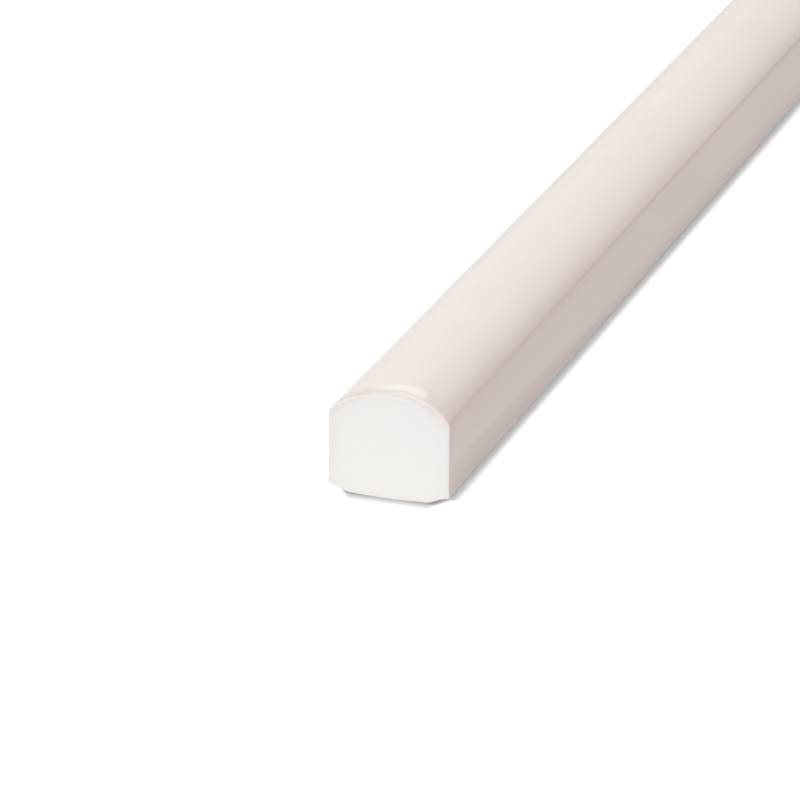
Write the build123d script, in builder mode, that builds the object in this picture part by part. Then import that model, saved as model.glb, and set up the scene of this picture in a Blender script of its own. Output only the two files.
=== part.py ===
from build123d import *
import os

# Quarter round ceramic trim tile, one pressed and fired piece
# Millimetres. The tile lies on its back: length along Y, width along X, +Z up.
# The origin is at the middle of the foot, on the surface that the tile lies on.

# Glazed front and sides
tile_length = 152.0  # the six inch stock length
tile_width = 11.7
tile_height = 10.5  # from the foot to the top of the crown
crown_rise = 2.65  # how far the domed front stands above its own edges
shoulder_radius = 0.9  # softened corner between the crown and each side
glaze_arris_radius = 0.4  # rounding where the glazed faces run over onto each end

# Bare back: a flat foot with a shallow rebate along each side
rebate_width = 1.9  # from the side of the tile to the edge of the foot
rebate_depth = 0.8  # at the side of the tile
ramp_run = 1.0  # slope that drops from the rebate to the foot, sideways
ramp_rise = 0.6  # and upwards
foot_edge_radius = 0.75
ramp_cove_radius = 1.0  # hollow corner at the top of the slope
back_edge_radius = 0.15  # broken edge round the bare back

# Places that follow from those sizes
half_width = tile_width / 2
half_length = tile_length / 2
shoulder_height = tile_height - crown_rise
foot_edge = half_width - rebate_width
ramp_top = foot_edge + ramp_run

with BuildPart() as tile:
    # Section of the tile, seen along its length
    with BuildSketch(Plane.XZ) as section:
        with BuildLine():
            Polyline(
                (half_width, shoulder_height),
                (half_width, rebate_depth),
                (ramp_top, ramp_rise),
                (foot_edge, 0),
                (-foot_edge, 0),
                (-ramp_top, ramp_rise),
                (-half_width, rebate_depth),
                (-half_width, shoulder_height),
            )
            ThreePointArc(
                (-half_width, shoulder_height),
                (0, tile_height),
                (half_width, shoulder_height),
            )
        make_face()
        fillet(section.vertices().group_by(Axis.Y)[-1], shoulder_radius)
        fillet(section.vertices().filter_by_position(Axis.Y, ramp_rise, ramp_rise), ramp_cove_radius)
        fillet(section.vertices().group_by(Axis.Y)[0], foot_edge_radius)
    extrude(amount=half_length, both=True)

    # Rounded run of glaze over the crown, shoulders and sides at both ends
    end_edges = tile.edges().filter_by(Plane.XZ)
    fillet(end_edges.filter_by(lambda edge: edge.center().Z > rebate_depth), glaze_arris_radius)

    # Broken edges of the bare back, at both ends and along both sides
    back_ends = tile.edges().filter_by(Plane.XZ).filter_by(lambda edge: edge.center().Z < rebate_depth)
    side_edges = tile.edges().filter_by(Axis.Y).filter_by_position(Axis.Z, rebate_depth, rebate_depth)
    fillet(back_ends + side_edges, back_edge_radius)

tile.part.label = "quarter_round_tile"
os.makedirs("parts", exist_ok=True)
export_step(tile.part, "parts/quarter_round_tile.step")
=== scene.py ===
# Glazed quarter round trim tile, lying on its back on a pale studio floor
import bpy
import bmesh
from math import atan2, cos, exp, pi, radians, sin, sqrt, tan
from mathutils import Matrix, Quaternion, Vector


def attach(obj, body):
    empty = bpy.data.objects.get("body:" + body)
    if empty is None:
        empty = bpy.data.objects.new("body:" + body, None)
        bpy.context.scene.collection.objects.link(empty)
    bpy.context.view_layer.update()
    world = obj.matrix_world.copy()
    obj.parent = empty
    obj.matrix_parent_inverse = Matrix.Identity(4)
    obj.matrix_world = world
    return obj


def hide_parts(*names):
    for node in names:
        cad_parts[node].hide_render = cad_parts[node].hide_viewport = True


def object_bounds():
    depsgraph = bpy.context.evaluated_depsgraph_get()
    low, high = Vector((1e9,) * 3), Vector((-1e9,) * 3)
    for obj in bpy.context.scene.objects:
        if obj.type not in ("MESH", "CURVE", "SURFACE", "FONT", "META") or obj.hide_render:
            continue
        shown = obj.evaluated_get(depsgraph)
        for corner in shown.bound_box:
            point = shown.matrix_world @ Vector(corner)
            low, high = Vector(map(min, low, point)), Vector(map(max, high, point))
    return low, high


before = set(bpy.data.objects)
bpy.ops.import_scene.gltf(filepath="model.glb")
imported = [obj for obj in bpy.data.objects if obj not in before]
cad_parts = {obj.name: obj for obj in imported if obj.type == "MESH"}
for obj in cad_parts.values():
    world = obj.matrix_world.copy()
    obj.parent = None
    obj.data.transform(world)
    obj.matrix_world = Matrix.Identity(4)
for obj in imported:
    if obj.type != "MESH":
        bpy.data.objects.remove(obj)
cadLow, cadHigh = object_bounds()
scene = bpy.context.scene
millimetre = 0.001
tiny = 1e-6  # metres, for comparing places
cutSlack = 1e-8  # metres, how close to a vertex a cut may pass
facing = 0.99  # least part of a face's normal along an axis, for a face that looks that way


def startClean():
    if bpy.context.object and bpy.context.object.mode != "OBJECT":
        bpy.ops.object.mode_set(mode="OBJECT")
    bpy.ops.object.select_all(action="DESELECT")


def editMode(kind="FACE"):
    bpy.ops.object.mode_set(mode="EDIT")
    bpy.ops.mesh.select_mode(type=kind)


def pick(piece, kind, test):
    # selects the faces, edges or vertices of the mesh in edit mode that pass the test
    bpy.ops.mesh.select_mode(type=kind)
    bpy.ops.mesh.select_all(action="DESELECT")
    mesh = bmesh.from_edit_mesh(piece.data)
    items = {"FACE": mesh.faces, "EDGE": mesh.edges, "VERT": mesh.verts}[kind]
    for item in items:
        if test(item):
            item.select_set(True)
    mesh.select_flush_mode()
    bmesh.update_edit_mesh(piece.data)


def middle(edge):
    return (edge.verts[0].co + edge.verts[1].co) / 2


def runsAlong(edge, share=0.999):
    # long edges, the ones that follow the length of the tile
    step = edge.verts[1].co - edge.verts[0].co
    return abs(step.y) > share * step.length


def near(value, place, slack=0.01 * millimetre):
    return abs(value - place) < slack


def longEdgeAt(x, z):
    # test for the two long edges at this distance from the middle and this height
    return lambda e: runsAlong(e) and near(abs(middle(e).x), x) and near(middle(e).z, z)


def cutAcross(place, normal, clear=False):
    bpy.ops.mesh.select_all(action="SELECT")
    bpy.ops.mesh.bisect(
        plane_co=place, plane_no=normal, use_fill=clear, clear_outer=clear, threshold=cutSlack)


def cornerReach(radius, turn):
    # how far from a corner a rounding of this radius starts
    return radius * tan(turn / 2)


def roundEdges(piece, test, radius, turn, steps):
    pick(piece, "EDGE", test)
    bpy.ops.mesh.bevel(
        offset_type="OFFSET", offset=cornerReach(radius, turn), segments=steps,
        profile=0.5, affect="EDGES", clamp_overlap=False)


def weightBy(piece, name, rule):
    group = piece.vertex_groups.new(name=name)
    for vertex in piece.data.vertices:
        weight = rule(vertex.co)
        if weight > 0:
            group.add([vertex.index], min(1.0, weight), "REPLACE")


def push(piece, name, direction, strength, midLevel=0, texture=None):
    # moves the vertices in the group of that name
    moved = piece.modifiers.new(name, "DISPLACE")
    moved.direction = direction
    moved.mid_level = midLevel
    moved.strength = strength
    moved.vertex_group = name
    if texture:
        moved.texture = texture
        moved.texture_coords = "LOCAL"
    bpy.ops.object.modifier_apply(modifier=moved.name)


def blendStep(value, low, high):
    t = max(0.0, min(1.0, (value - low) / (high - low)))
    return t * t * (3 - 2 * t)


tileShape = {
    "name": "glazedTile",
    "crownRise": 2.5 * millimetre,  # dome above its own edges
    "crownFacets": 384,  # round the whole circle that the dome is part of
    "shoulderRadius": 0.9 * millimetre,
    "shoulderSteps": 9,
    "shoulderRoom": 0.05 * millimetre,  # spare, where the dome's facets make way for the rounding
    # the bare back: foot, ramps and rebates
    "footHalf": 3.95 * millimetre,
    "rampTop": 4.95 * millimetre,
    "rampRise": 0.6 * millimetre,
    "rebateDepth": 0.8 * millimetre,
    "footEdgeRadius": 0.75 * millimetre,
    "footEdgeSteps": 5,
    "rampCoveRadius": 1.0 * millimetre,
    "rampCoveSteps": 4,
    "wallFootRadius": 0.15 * millimetre,
    "wallFootSteps": 6,
    "flatStrip": 3.0 * millimetre,  # strips wider than this are flat ones, to be divided
    "wallStrips": 20,
    "footStrips": 20,
    # how the tile curls down at each end: how deep at the end and how quickly it dies out
    "endDropCrown": 0.59 * millimetre,
    "endCurlCrown": 0.55 * millimetre,
    "endDropSide": 0.03 * millimetre,
    "endCurlSide": 0.4 * millimetre,
    "endShareLeft": 0.1,  # the left of the crown keeps its height
    "wallBlend": 1.5 * millimetre,  # up the wall until the curl is at its full depth
    "crownBlend": (-0.3 * millimetre, 1.3 * millimetre),  # the same on the crown, from the shoulders up
    "arrisRadius": 0.1 * millimetre,  # small rounding onto the bare end face
    "arrisShareFoot": 0.45,
    "arrisShareSide": 2.2,  # wider across the sides
    # rows across the length, close together at each end
    "arrisZone": 0.3 * millimetre,
    "arrisRows": 14,
    "endZone": 6.0 * millimetre,
    "endRows": 26,
    "middleCuts": (69, 1),
    # a fired tile is never quite true
    "droop": 0.02 * millimetre,  # the whole dome sinks a little towards each end
    "droopReach": 8.0 * millimetre,
    "droopFrom": 3.0 * millimetre,
    "footLift": 0.12 * millimetre,  # the foot's long edges stand clear of the floor
    "waveDepth": 0.015 * millimetre,
    "waveLength": 11.0 * millimetre,
    "wavesPastEnd": (0.2 * millimetre, 3.0 * millimetre),
    "wavesAboveBack": (1.0 * millimetre, 3.0 * millimetre),
    "capRim": 0.02 * millimetre,
    "capCorners": 8,  # a face with more corners than this is an end
    "weld": 1e-7,
}


def makeTile(s):
    halfWidth = cadHigh.x
    halfLength = cadHigh.y
    top = cadHigh.z
    domeRadius = (halfWidth ** 2 + s["crownRise"] ** 2) / (2 * s["crownRise"])
    domeCentre = top - domeRadius
    shoulderHeight = top - s["crownRise"]
    shoulderTurn = pi / 2 - atan2(halfWidth, shoulderHeight - domeCentre)
    rampTurn = atan2(s["rampRise"], s["rampTop"] - s["footHalf"])
    rebateTurn = atan2(s["rebateDepth"] - s["rampRise"], halfWidth - s["rampTop"])

    # round bar of the dome's radius, laid along the length
    startClean()
    bpy.ops.mesh.primitive_cylinder_add(
        vertices=s["crownFacets"], radius=domeRadius, depth=2 * halfLength, end_fill_type="NGON",
        location=(0, 0, domeCentre), rotation=(pi / 2, 0, 0))
    piece = bpy.context.object
    piece.name = s["name"]
    piece.data.name = s["name"]
    bpy.ops.object.transform_apply(location=True, rotation=True, scale=True)

    # slice off the two sides and the underside
    editMode()
    cutAcross((halfWidth, 0, 0), (1, 0, 0), clear=True)
    cutAcross((-halfWidth, 0, 0), (-1, 0, 0), clear=True)
    cutAcross((0, 0, 0), (0, 0, -1), clear=True)

    # raised foot down the middle of the back, shallow rebate along each side
    for place in (s["footHalf"], s["rampTop"]):
        for side in (-1, 1):
            pick(piece, "FACE", lambda face: face.normal.z < -facing)
            bpy.ops.mesh.bisect(plane_co=(side * place, 0, 0), plane_no=(1, 0, 0), threshold=cutSlack)
    pick(piece, "VERT", lambda v: near(v.co.z, 0) and near(abs(v.co.x), s["rampTop"]))
    bpy.ops.transform.translate(value=(0, 0, s["rampRise"]))
    pick(piece, "VERT", lambda v: near(v.co.z, 0) and near(abs(v.co.x), halfWidth))
    bpy.ops.transform.translate(value=(0, 0, s["rebateDepth"]))
    print("tile: bar sliced and back shaped")

    # the dome's last facets make way for the rounded shoulders
    reach = cornerReach(s["shoulderRadius"], shoulderTurn)
    lastFacet = halfWidth - reach * cos(pi / 2 - shoulderTurn) - s["shoulderRoom"]
    pick(piece, "EDGE", lambda e: runsAlong(e) and lastFacet < abs(middle(e).x) < halfWidth - tiny
         and middle(e).z > shoulderHeight)
    bpy.ops.mesh.dissolve_edges(use_verts=True)

    roundEdges(piece, longEdgeAt(halfWidth, shoulderHeight),
               s["shoulderRadius"], shoulderTurn, s["shoulderSteps"])
    roundEdges(piece, longEdgeAt(halfWidth, s["rebateDepth"]),
               s["wallFootRadius"], pi / 2 - rebateTurn, s["wallFootSteps"])
    roundEdges(piece, longEdgeAt(s["rampTop"], s["rampRise"]),
               s["rampCoveRadius"], rampTurn - rebateTurn, s["rampCoveSteps"])
    roundEdges(piece, longEdgeAt(s["footHalf"], 0),
               s["footEdgeRadius"], rampTurn, s["footEdgeSteps"])

    # open both ends while the sides are divided and shaped
    pick(piece, "FACE", lambda face: abs(face.normal.y) > facing)
    bpy.ops.mesh.delete(type="ONLY_FACE")

    # divide the flat strips so that they can move a little
    pick(piece, "EDGE", lambda e: not runsAlong(e) and near(abs(middle(e).x), halfWidth)
         and abs(e.verts[0].co.z - e.verts[1].co.z) > s["flatStrip"])
    bpy.ops.mesh.subdivide(number_cuts=s["wallStrips"] - 1)
    pick(piece, "EDGE", lambda e: not runsAlong(e) and near(middle(e).z, 0)
         and abs(e.verts[0].co.x - e.verts[1].co.x) > s["flatStrip"])
    bpy.ops.mesh.subdivide(number_cuts=s["footStrips"] - 1)
    print("tile: long edges rounded")

    # rows across the length, closest together at the two ends
    arrisRows = [s["arrisZone"] * (k / s["arrisRows"]) ** 2 for k in range(1, s["arrisRows"] + 1)]
    growth = (s["endZone"] / s["arrisZone"]) ** (1 / s["endRows"])
    zoneRows = [s["arrisZone"] * growth ** k for k in range(1, s["endRows"] + 1)]
    for distance in zoneRows[::-1] + arrisRows[::-1]:
        for side in (-1, 1):
            cutAcross((0, side * (halfLength - distance), 0), (0, 1, 0))
    for cuts in s["middleCuts"]:
        pick(piece, "EDGE", lambda e: runsAlong(e)
             and abs(middle(e).y) < halfLength - s["endZone"] - tiny)
        bpy.ops.mesh.subdivide(number_cuts=cuts)

    bpy.ops.object.mode_set(mode="OBJECT")
    print("tile: divided, %d vertices" % len(piece.data.vertices))

    deepest = s["endDropCrown"] + s["arrisRadius"]

    def endRule(co):
        # the curl down to the end face, as a share of the deepest
        inward = halfLength - abs(co.y)
        onWall = blendStep(co.z, s["rebateDepth"], s["rebateDepth"] + s["wallBlend"])
        onCrown = blendStep(co.z, shoulderHeight + s["crownBlend"][0], shoulderHeight + s["crownBlend"][1])
        share = s["endShareLeft"] + (1 - s["endShareLeft"]) * blendStep(co.x, -halfWidth, 0)
        side = s["endDropSide"] * exp(-inward / s["endCurlSide"])
        crown = s["endDropCrown"] * exp(-inward / s["endCurlCrown"]) * share
        arris = s["arrisRadius"]
        left = min(arris, max(0.0, arris - inward))
        spread = s["arrisShareFoot"] + (s["arrisShareSide"] - s["arrisShareFoot"]) * onWall
        spread += (1 - spread) * onCrown
        tip = (arris - sqrt(arris ** 2 - left ** 2)) * spread
        return (side * onWall + max(0.0, crown - side) * onCrown + tip) / deepest

    def droopRule(co):
        return exp(-(halfLength - abs(co.y)) / s["droopReach"]) * blendStep(co.z, s["droopFrom"], top)

    def footRule(co):
        across = abs(co.x)
        if across > s["rampTop"] or co.z > s["rebateDepth"]:
            return 0
        lifted = (min(across, s["footHalf"]) / s["footHalf"]) ** 2
        return lifted * (1 - blendStep(across, s["footHalf"], s["rampTop"]))

    def waveRule(co):
        return blendStep(halfLength - abs(co.y), *s["wavesPastEnd"]) * blendStep(co.z, *s["wavesAboveBack"])

    ripple = bpy.data.textures.new("glazeRipple", "CLOUDS")
    ripple.noise_scale = s["waveLength"]
    ripple.noise_depth = 1
    weightBy(piece, "ends", endRule)
    weightBy(piece, "droop", droopRule)
    weightBy(piece, "foot", footRule)
    weightBy(piece, "waves", waveRule)
    push(piece, "ends", "NORMAL", -deepest)
    push(piece, "droop", "Z", -s["droop"])
    push(piece, "foot", "Z", s["footLift"])
    push(piece, "waves", "NORMAL", s["waveDepth"], 1, ripple)  # only ever inwards
    piece.vertex_groups.clear()

    # flat bare ends
    editMode("EDGE")
    for side in (-1, 1):
        pick(piece, "EDGE", lambda e: e.is_boundary and middle(e).y * side > 0)
        bpy.ops.mesh.edge_face_add()
        pick(piece, "FACE", lambda face: face.normal.y * side > facing
             and len(face.verts) > s["capCorners"])
        bpy.ops.mesh.inset(thickness=s["capRim"], depth=0)
    bpy.ops.mesh.select_all(action="SELECT")
    bpy.ops.mesh.remove_doubles(threshold=s["weld"])
    bpy.ops.mesh.normals_make_consistent(inside=False)
    bpy.ops.object.mode_set(mode="OBJECT")
    bpy.ops.object.shade_smooth()
    print("tile: ends closed, %d faces" % len(piece.data.polygons))
    return piece


tilePiece = makeTile(tileShape)


class nodeTable:
    # lays nodes out from left to right as they are added
    spacing = 200

    def __init__(self, tree):
        self.tree = tree
        self.tree.nodes.clear()
        self.count = 0

    def add(self, kind, values=None, **settings):
        node = self.tree.nodes.new(kind)
        node.location = (self.spacing * self.count, 0)
        self.count += 1
        for key, value in settings.items():
            setattr(node, key, value)
        for key, value in (values or {}).items():
            self.feed(node.inputs[key], value)
        return node

    def feed(self, socket, value):
        if hasattr(value, "is_output"):
            self.tree.links.new(value, socket)
        else:
            socket.default_value = value

    def math(self, operation, *values):
        node = self.add("ShaderNodeMath", dict(enumerate(values)), operation=operation)
        return node.outputs[0]

    def times(self, first, second):
        return self.math("MULTIPLY", first, second)

    def minus(self, first, second):
        return self.math("SUBTRACT", first, second)

    def ramp(self, value, low, high, toLow=0.0, toHigh=1.0):
        # smooth, and level on either side
        node = self.add("ShaderNodeMapRange", {
            "Value": value, "From Min": low, "From Max": high, "To Min": toLow, "To Max": toHigh},
            interpolation_type="SMOOTHSTEP")
        return node.outputs["Result"]

    def edge(self, value, place, soft, toLow=0.0, toHigh=1.0):
        return self.ramp(value, place - soft, place + soft, toLow, toHigh)

    def noise(self, place, scale, detail=2.0, roughness=0.5):
        node = self.add("ShaderNodeTexNoise", {
            "Vector": place, "Scale": scale, "Detail": detail, "Roughness": roughness})
        return node.outputs["Fac"]

    def shifted(self, value, noise, depth):
        # moved to and fro by a noise
        return self.math("ADD", value, self.times(self.minus(noise, 0.5), depth))

    def scaled(self, colour, share):
        node = self.add("ShaderNodeVectorMath", {0: colour, "Scale": share}, operation="SCALE")
        return node.outputs[0]

    def mix(self, share, first, second):
        node = self.add("ShaderNodeMix", data_type="RGBA")
        self.feed(node.inputs["Factor"], share)
        self.feed(node.inputs[6], first)
        self.feed(node.inputs[7], second)
        return node.outputs[2]


# glaze over a chalky white body, one finish that knows where the glaze stops
finishLook = {
    # colour of the glaze at each height, near the one end and towards the far one: partly the glaze's own
    # colour, partly painted shade, darker on the sides and changing along the length
    "sideNear": (0.814, 0.671, 0.61, 1),
    "flankNear": (0.828, 0.745, 0.675, 1),
    "topNear": (0.85, 0.772, 0.718, 1),
    "sideFar": (0.869, 0.726, 0.645, 1),
    "flankFar": (0.828, 0.74, 0.668, 1),
    "topFar": (0.856, 0.757, 0.689, 1),
    "leftFarShade": (0.795, 0.693, 0.6, 1),  # left of the crown, painted shade: darker and warmer there
    "flankHeight": (7.6 * millimetre, 9.2 * millimetre),
    "topHeight": (9.7 * millimetre, 10.3 * millimetre),
    "nearToFar": (-51 * millimetre, 24 * millimetre),
    "leftToMiddle": (-3.4 * millimetre, -1.4 * millimetre),
    "cloudScale": 45.0,
    "cloudRange": (0.25, 0.75),  # the noise, from its low patches to its high ones
    "cloudShare": (0.985, 1.012),  # how bright the glaze is there
    "bodyColour": (0.9, 0.869, 0.845, 1),
    "bodyShade": (0.886, 0.852, 0.826, 1),
    "grainScale": 3800.0,
    "grainDetail": 3.0,
    "grainRoughness": 0.65,
    "grainRange": (0.35, 0.8),
    "grainDepth": 0.02 * millimetre,
    "crownHeight": (7.2 * millimetre, 9.2 * millimetre),  # round the shoulder, from side to crown
    "bareCrown": 0.35 * millimetre,  # bare body shows this far in from the end on the crown
    "bareSide": 0.06 * millimetre,  # and on the sides
    "bareLeft": 0.06 * millimetre,  # and on the left of the crown, where the glaze runs on
    "bareLeftToMiddle": (-3.5 * millimetre, -0.5 * millimetre),
    "glazeEdge": 0.03 * millimetre,
    "wander": 0.04 * millimetre,
    "wanderScale": 900.0,
    "glazeFoot": (0.86 * millimetre, 0.96 * millimetre),  # the glaze stops just above the back
    "drip": 0.3 * millimetre,
    "dripScale": 260.0,
    "curlShadeDepth": 0.135,  # painted shade on the glaze where the crown curls down to the end
    "curlShadeRight": 0.5,  # less so towards the right
    "curlShadeMiddleToRight": (0.0, 4.0 * millimetre),
    "curlShadeStart": 0.35 * millimetre,
    "curlShadeEnd": 1.6 * millimetre,
    "bandPaintedShade": 0.89,  # painted shade in the bare band that curls over the end
    "bandReach": 0.1 * millimetre,
    "rimShade": 0.08,  # dark edge round the bare end face
    "rimReach": 0.38 * millimetre,
    "crownFall": 0.5 * millimetre,  # how far the crown has dropped at the end face
    "glazeRoughness": 0.012,
    "sheenSpread": 0.01,
    "sheenRange": (0.3, 0.7),
    "sheenScale": 120.0,
    "peelScale": 420.0,
    "peelDepth": 0.0015 * millimetre,
    "bodyRoughness": 0.8,
    "refraction": 1.5,
}


def makeFinish(look):
    material = bpy.data.materials.new("glazeOverBody")
    material.use_nodes = True
    t = nodeTable(material.node_tree)
    place = t.add("ShaderNodeTexCoord").outputs["Object"]
    split = t.add("ShaderNodeSeparateXYZ", {"Vector": place})
    across, along, up = split.outputs["X"], split.outputs["Y"], split.outputs["Z"]

    # where the glaze stops: just short of each bare end and just above the back
    fromEnd = t.minus(cadHigh.y, t.math("ABSOLUTE", along))
    fromEnd = t.shifted(fromEnd, t.noise(place, look["wanderScale"]), look["wander"])
    height = t.shifted(up, t.noise(place, look["dripScale"]), look["drip"])
    onCrown = t.ramp(up, *look["crownHeight"])
    bareCrown = t.ramp(across, *look["bareLeftToMiddle"], look["bareLeft"], look["bareCrown"])
    bareBand = t.math("MULTIPLY_ADD", onCrown, t.minus(bareCrown, look["bareSide"]), look["bareSide"])
    pastBand = t.edge(t.minus(fromEnd, bareBand), 0.0, look["glazeEdge"])
    glazed = t.times(pastBand, t.ramp(height, *look["glazeFoot"]))

    # painted shade: the glaze's colour is graded by height, along the length and across the left of the
    # crown
    onFlank = t.ramp(up, *look["flankHeight"])
    onTop = t.ramp(up, *look["topHeight"])
    nearColour = t.mix(onTop, t.mix(onFlank, look["sideNear"], look["flankNear"]), look["topNear"])
    farColour = t.mix(onTop, t.mix(onFlank, look["sideFar"], look["flankFar"]), look["topFar"])
    farColour = t.mix(t.ramp(across, *look["leftToMiddle"]), look["leftFarShade"], farColour)
    glazeColour = t.mix(t.ramp(along, *look["nearToFar"]), nearColour, farColour)
    bright = t.ramp(t.noise(place, look["cloudScale"]), *look["cloudRange"], *look["cloudShare"])
    # painted shade where the crown curls down to the end
    curlShade = t.times(onCrown, t.ramp(fromEnd, look["curlShadeStart"], look["curlShadeEnd"], 1.0, 0.0))
    curlShade = t.times(curlShade, t.ramp(across, *look["curlShadeMiddleToRight"], 1.0, look["curlShadeRight"]))
    bright = t.times(bright, t.minus(1.0, t.times(curlShade, look["curlShadeDepth"])))
    glazeColour = t.scaled(glazeColour, bright)

    # the body is a little darker towards the outline of the end face
    grain = t.noise(place, look["grainScale"], look["grainDetail"], look["grainRoughness"])
    bodyColour = t.mix(t.ramp(grain, *look["grainRange"]), look["bodyColour"], look["bodyShade"])
    domeRadius = (cadHigh.x ** 2 + tileShape["crownRise"] ** 2) / (2 * tileShape["crownRise"])
    fromAxis = t.add("ShaderNodeCombineXYZ", {"X": across, "Z": t.minus(up, cadHigh.z - domeRadius)})
    fromAxis = t.add("ShaderNodeVectorMath", {0: fromAxis.outputs[0]}, operation="LENGTH")
    fromRim = t.math("MINIMUM", t.minus(domeRadius - look["crownFall"], fromAxis.outputs["Value"]),
                     t.minus(cadHigh.x, t.math("ABSOLUTE", across)))
    fromRim = t.math("MAXIMUM", fromRim, 0.0)
    rim = t.math("EXPONENT", t.math("DIVIDE", fromRim, -look["rimReach"]))
    rim = t.minus(1.0, t.times(rim, look["rimShade"]))
    # painted shade in the bare band over the end of the crown
    band = t.times(onCrown, t.ramp(fromEnd, 0.0, look["bandReach"], 0.0, 1.0 - look["bandPaintedShade"]))
    bodyColour = t.scaled(bodyColour, t.times(rim, t.minus(1.0, band)))

    sheen = t.ramp(t.noise(place, look["sheenScale"]), *look["sheenRange"],
                   look["glazeRoughness"], look["glazeRoughness"] + look["sheenSpread"])
    rough = t.add("ShaderNodeMix", {"Factor": glazed, "A": look["bodyRoughness"], "B": sheen})
    peel = t.add("ShaderNodeBump", {
        "Strength": 1.0, "Distance": look["peelDepth"], "Height": t.noise(place, look["peelScale"], 1.0)})
    bump = t.add("ShaderNodeBump", {
        "Strength": 1.0, "Distance": look["grainDepth"], "Height": t.times(grain, t.minus(1.0, glazed)),
        "Normal": peel.outputs["Normal"]})

    shader = t.add("ShaderNodeBsdfPrincipled", {
        "Base Color": t.mix(glazed, bodyColour, glazeColour), "Roughness": rough.outputs[0],
        "Normal": bump.outputs["Normal"], "IOR": look["refraction"]})
    t.add("ShaderNodeOutputMaterial", {"Surface": shader.outputs[0]})
    return material


tilePiece.data.materials.clear()
tilePiece.data.materials.append(makeFinish(finishLook))
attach(tilePiece, "root")
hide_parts("quarter_round_tile")
print("tile: glazed")


floorLook = {
    "size": 6.0,
    "colour": (0.78, 0.78, 0.78),
    # white added only to what the camera sees: beside the tile, and further off; less of it close by paints
    # part of the shadow there, the rest is cast
    "glowBeside": 0.12,
    "glowFar": 0.9,
    "shadowStart": -0.4 * millimetre,  # the fade of the shadow begins a little in under the tile's side
    "shadowEnd": 1.3 * millimetre,
    "shadowFar": 0.8,  # distances count for less at the far end, so the shadow is wider there
    "shadowNearToFar": (-30 * millimetre, 60 * millimetre),
    # painted light: the floor seen in under the two rebates, in shade there, is pale again
    "underReach": 1.9 * millimetre,
    "underFoot": (3.9 * millimetre, 5.4 * millimetre),
    "underAside": -0.15 * millimetre,  # and what the foot hides lies a little to the right
    # painted contact shadow in front of the foot, in the floor's colour for the camera only
    "contactShade": 0.38,
    "contactStart": 0.8 * millimetre,
    "contactEnd": 3.0 * millimetre,
    "contactFoot": (3.6 * millimetre, 5.2 * millimetre),
    "contactStretch": 0.55,  # distances past the end count for less in front of the foot
    "stretchFoot": (3.6 * millimetre, 5.4 * millimetre),
    # painted reflection: white added to what the gloss sees to the right of the tile
    "glossNear": 0.42,
    "glossFar": 0.15,
    "glossNearToFar": (-90 * millimetre, 30 * millimetre),
    "glossAside": 0.15,  # a few millimetres off
    "glossBesideToAside": (1.5 * millimetre, 7.0 * millimetre),
    "glossShade": 0.5,  # of it in a painted shadow along that side
    "shadeNear": 2.8 * millimetre,  # width of the painted shadow, widest close to the near end
    "shadeFar": 1.2 * millimetre,
    "shadeNearToFar": (-64 * millimetre, -14 * millimetre),
    "shadeRise": 10.0 * millimetre,  # it opens to that width over this length
    "shadeEdge": 0.15 * millimetre,
    # and to the left, close by and where the lamps no longer reach
    "glossLeft": 0.19,
    "glossLeftFar": 0.85,
    "glossLeftToFar": (0.03, 0.7),
    "leftToRight": (-20 * millimetre, 0.0),
}


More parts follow.
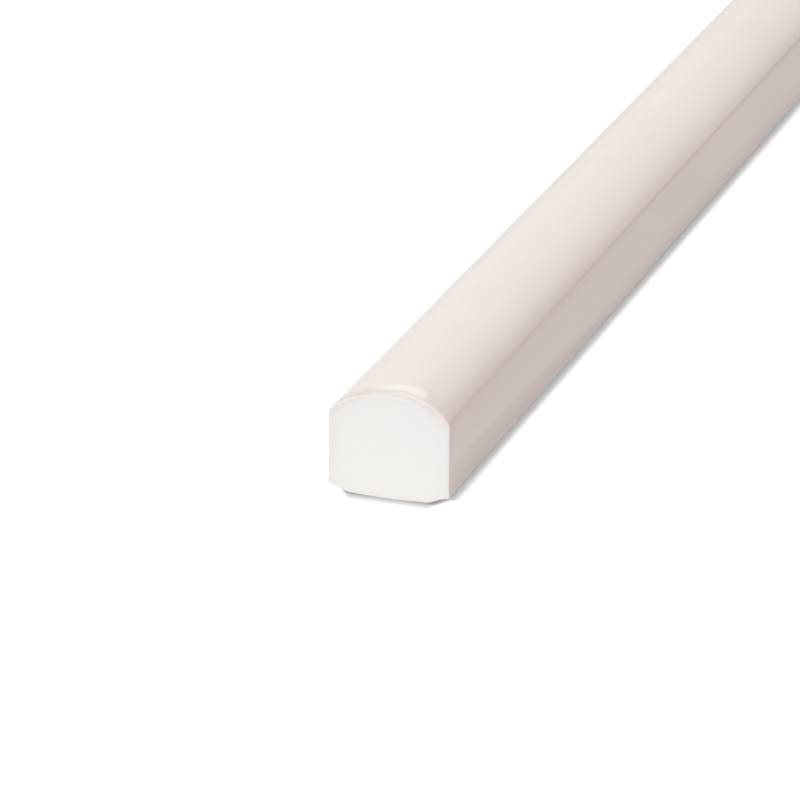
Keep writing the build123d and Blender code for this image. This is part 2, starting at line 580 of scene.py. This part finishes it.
def makeFloor(s):
    startClean()
    bpy.ops.mesh.primitive_plane_add(size=s["size"], location=(0, 0, 0))
    floor = bpy.context.object
    floor.name = "studioFloor"
    material = bpy.data.materials.new("paleFloor")
    material.use_nodes = True
    t = nodeTable(material.node_tree)
    ray = t.add("ShaderNodeLightPath")
    seen = ray.outputs["Is Camera Ray"]
    gloss = t.math("MAXIMUM", ray.outputs["Is Glossy Ray"], ray.outputs["Is Transmission Ray"])
    place = t.add("ShaderNodeTexCoord").outputs["Object"]
    split = t.add("ShaderNodeSeparateXYZ", {"Vector": place})
    across, along = split.outputs["X"], split.outputs["Y"]

    # how far from the tile, sideways and past its ends
    aside = t.math("MAXIMUM", t.minus(t.math("ABSOLUTE", across), cadHigh.x), 0.0)
    fromMiddle = t.math("ABSOLUTE", t.math("ADD", across, s["underAside"]))
    pastEnd = t.minus(t.math("ABSOLUTE", along), cadHigh.y)
    # painted light under the two rebates
    under = t.ramp(fromMiddle, *s["underFoot"], 0.0, s["underReach"])
    beyond = t.math("MAXIMUM", t.math("ADD", pastEnd, under), 0.0)
    beyond = t.times(beyond, t.ramp(fromMiddle, *s["stretchFoot"], s["contactStretch"], 1.0))
    asideSeen = t.times(aside, t.ramp(along, *s["shadowNearToFar"], 1.0, s["shadowFar"]))
    away = t.math("SQRT", t.math("ADD", t.math("POWER", asideSeen, 2.0), t.math("POWER", beyond, 2.0)))
    # painted shadow: less white close to the tile
    toCamera = t.times(seen, t.ramp(away, s["shadowStart"], s["shadowEnd"], s["glowBeside"], s["glowFar"]))

    # what the gloss sees of the floor: painted reflection, with a painted shadow along the right side
    shade = t.ramp(along, *s["shadeNearToFar"], s["shadeNear"], s["shadeFar"])
    shade = t.times(shade, t.ramp(along, -cadHigh.y, -cadHigh.y + s["shadeRise"]))
    right = t.ramp(along, *s["glossNearToFar"], s["glossNear"], s["glossFar"])
    right = t.ramp(aside, *s["glossBesideToAside"], right, s["glossAside"])
    right = t.times(right, t.edge(t.minus(aside, shade), 0.0, s["shadeEdge"], s["glossShade"], 1.0))
    left = t.ramp(away, *s["glossLeftToFar"], s["glossLeft"], s["glossLeftFar"])
    toGloss = t.times(gloss, t.ramp(across, *s["leftToRight"], left, right))

    # painted contact shadow in front of the foot
    contact = t.ramp(pastEnd, s["contactStart"], s["contactEnd"], s["contactShade"], 1.0)
    contact = t.ramp(fromMiddle, *s["contactFoot"], contact, 1.0)
    contact = t.ramp(seen, 0.0, 1.0, 1.0, contact)
    matt = t.add("ShaderNodeBsdfDiffuse", {"Color": t.scaled(s["colour"], contact)})
    glow = t.add("ShaderNodeEmission", {"Strength": t.math("ADD", toCamera, toGloss)})
    both = t.add("ShaderNodeAddShader", {0: matt.outputs[0], 1: glow.outputs[0]})
    t.add("ShaderNodeOutputMaterial", {"Surface": both.outputs[0]})
    floor.data.materials.append(material)


roomLook = {
    "light": 0.18,  # on the tile and the floor, from all round
    "backdrop": 1.01,  # pale cloth behind the tile, seen only in its gloss
    "backdropTop": 0.468,  # sine of the height at which it ends
    "backdropSoft": 0.006,
    "aboveBackdrop": 0.7,
    "rightOfBackdrop": 0.13,
    "rightStart": 0.12,
    "rightEnd": 0.35,
    # bright panel up over the backdrop, in degrees round from straight behind and up
    "panelFace": 2.08,
    "panelColour": (0.82, 0.98, 0.93, 1),
    "panelLow": 29.4,
    "panelLean": 0.21,
    "panelHigh": 49.8,
    "panelLeft": -31.0,
    "panelRight": 4.5,
    "panelSpread": 0.76,
    "panelSoftLow": 0.4,
    "panelSoftRight": 0.7,
    "panelSoft": 1.0,
    # soft light overhead, as slopes to the right and back from straight up
    "overheadFace": 2.4,
    "overheadLeft": -0.35,
    "overheadRight": 0.75,
    "overheadFront": -1.6,
    "overheadBack": 0.6,
    "overheadSoft": 0.04,
    "horizon": 0.05,  # the slopes aren't followed down any lower than this
}


def makeRoom(s):
    world = bpy.data.worlds.new("paleRoom")
    scene.world = world
    world.use_nodes = True
    t = nodeTable(world.node_tree)
    ray = t.add("ShaderNodeLightPath")
    gloss = t.math("MAXIMUM", ray.outputs["Is Glossy Ray"], ray.outputs["Is Transmission Ray"])
    looking = t.add("ShaderNodeTexCoord").outputs["Generated"]
    split = t.add("ShaderNodeSeparateXYZ", {"Vector": looking})
    across, along, up = split.outputs["X"], split.outputs["Y"], split.outputs["Z"]
    above = t.edge(up, s["backdropTop"], s["backdropSoft"], 1.0, s["aboveBackdrop"])
    right = t.ramp(across, s["rightStart"], s["rightEnd"], 1.0, s["rightOfBackdrop"])
    room = t.times(t.times(above, right), s["backdrop"])

    # the bright panel
    turned = t.math("DEGREES", t.math("ARCTAN2", across, along))
    raised = t.math("DEGREES", t.math("ARCSINE", up))
    overEdge = t.minus(raised, t.math("MULTIPLY_ADD", turned, s["panelLean"], s["panelLow"]))
    rightEdge = t.math("MULTIPLY_ADD", overEdge, s["panelSpread"], s["panelRight"])
    panel = t.times(t.edge(overEdge, 0.0, s["panelSoftLow"]),
                    t.edge(raised, s["panelHigh"], s["panelSoft"], 1.0, 0.0))
    panel = t.times(panel, t.edge(turned, s["panelLeft"], s["panelSoft"]))
    panel = t.times(panel, t.edge(t.minus(rightEdge, turned), 0.0, s["panelSoftRight"]))

    # the light overhead
    height = t.math("MAXIMUM", up, s["horizon"])
    sideways = t.math("DIVIDE", across, height)
    backwards = t.math("DIVIDE", along, height)
    overhead = t.times(t.edge(sideways, s["overheadLeft"], s["overheadSoft"]),
                       t.edge(sideways, s["overheadRight"], s["overheadSoft"], 1.0, 0.0))
    overhead = t.times(overhead, t.edge(backwards, s["overheadFront"], s["overheadSoft"]))
    overhead = t.times(overhead, t.edge(backwards, s["overheadBack"], s["overheadSoft"], 1.0, 0.0))

    room = t.math("MAXIMUM", room, t.times(panel, s["panelFace"]))
    room = t.math("MAXIMUM", room, t.times(overhead, s["overheadFace"]))
    strength = t.math("ADD", t.times(gloss, t.minus(room, s["light"])), s["light"])
    strength = t.math("MAXIMUM", strength, ray.outputs["Is Camera Ray"])  # white where nothing is
    tint = t.mix(t.times(panel, gloss), (1, 1, 1, 1), s["panelColour"])
    light = t.add("ShaderNodeBackground", {"Color": tint, "Strength": strength})
    t.add("ShaderNodeOutputWorld", {"Surface": light.outputs[0]})


# each box: where it stands seen from the tile's near end, its size and how bright its face is
softboxes = {
    "frontBox": {"azimuth": -160, "elevation": 12, "distance": 1.0,
                 "wide": 0.36, "high": 0.36, "face": 10.6},
    "topBox": {"azimuth": 135, "elevation": 70.5, "distance": 1.06,
               "wide": 0.7, "high": 1.3, "face": 2.11},
    "highBox": {"azimuth": -60, "elevation": 80, "distance": 1.0,
                "wide": 0.6, "high": 0.6, "face": 3.28},
}


def towards(azimuth, elevation):
    a, e = radians(azimuth), radians(elevation)
    return Vector((sin(a) * cos(e), cos(a) * cos(e), sin(e)))


def makeSoftbox(name, b):
    aim = Vector((0, -cadHigh.y, cadHigh.z))
    away = towards(b["azimuth"], b["elevation"])
    startClean()
    bpy.ops.object.light_add(type="AREA", location=aim + away * b["distance"])
    lamp = bpy.context.object
    lamp.name = name
    lamp.rotation_euler = away.to_track_quat("Z", "Y").to_euler()
    lamp.data.shape = "RECTANGLE"
    lamp.data.size = b["wide"]
    lamp.data.size_y = b["high"]
    lamp.data.energy = b["face"] * pi * b["wide"] * b["high"]
    lamp.visible_camera = False
    lamp.visible_glossy = False  # the room has its own bright shapes for the gloss


photoView = {
    "aim": (-0.00703, -0.05214, 0.0),
    "azimuth": 18.706,
    "elevation": 21.22,
    "distance": 0.45148,
    "roll": 0.4907,
    "lens": 211.75,
    "sensor": 36.0,
    "clip": (0.01, 50),
}


def makeCamera(v):
    back = towards(180 - v["azimuth"], v["elevation"])
    startClean()
    bpy.ops.object.camera_add(location=Vector(v["aim"]) + back * v["distance"])
    camera = bpy.context.object
    camera.name = "photoCamera"
    turn = (-back).to_track_quat("-Z", "Y") @ Quaternion((0, 0, 1), radians(v["roll"]))
    camera.rotation_euler = turn.to_euler()
    camera.data.lens = v["lens"]
    camera.data.sensor_width = v["sensor"]
    camera.data.clip_start, camera.data.clip_end = v["clip"]
    scene.camera = camera


makeFloor(floorLook)
print("studio: floor laid")
makeRoom(roomLook)
for boxName, box in softboxes.items():
    makeSoftbox(boxName, box)
print("studio: room and lights set")
makeCamera(photoView)
scene.view_settings.view_transform = "Standard"
print("studio: camera set")
